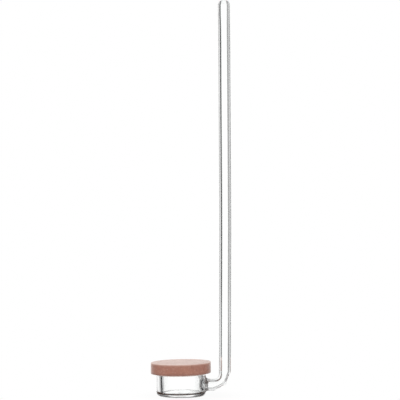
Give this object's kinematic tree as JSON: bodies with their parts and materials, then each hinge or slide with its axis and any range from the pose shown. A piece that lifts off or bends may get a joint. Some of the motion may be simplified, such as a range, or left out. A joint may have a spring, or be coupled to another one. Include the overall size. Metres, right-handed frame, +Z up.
{
  "type": "carbon dioxide diffuser",
  "caption": "Hang-in glass aquarium diffuser: a slim vertical riser bends into the side of a shallow gas cup closed by a wider porous ceramic disc.",
  "frame": {"origin": "centre of the gas cup's flat underside, on the axis of the cup and the disc", "axes": "+Z up the axis of the cup and disc, parallel to the riser; +X from the cup towards the riser; +Y completes a right-handed frame and is normal to the mirror plane that holds the cup's axis and the riser"},
  "size_m": [0.0402, 0.03, 0.2],
  "materials": {
    "clear_glass": "polished",
    "clear_bond": "gloss",
    "porous_ceramic": "matte"
  },
  "bodies": {
    "root": {"gas_cup": "clear_glass", "stem_tube": "clear_glass", "stem_weld": "clear_glass", "disc_bond": "clear_bond", "diffuser_disc": "porous_ceramic"}
  },
  "joints": []
}
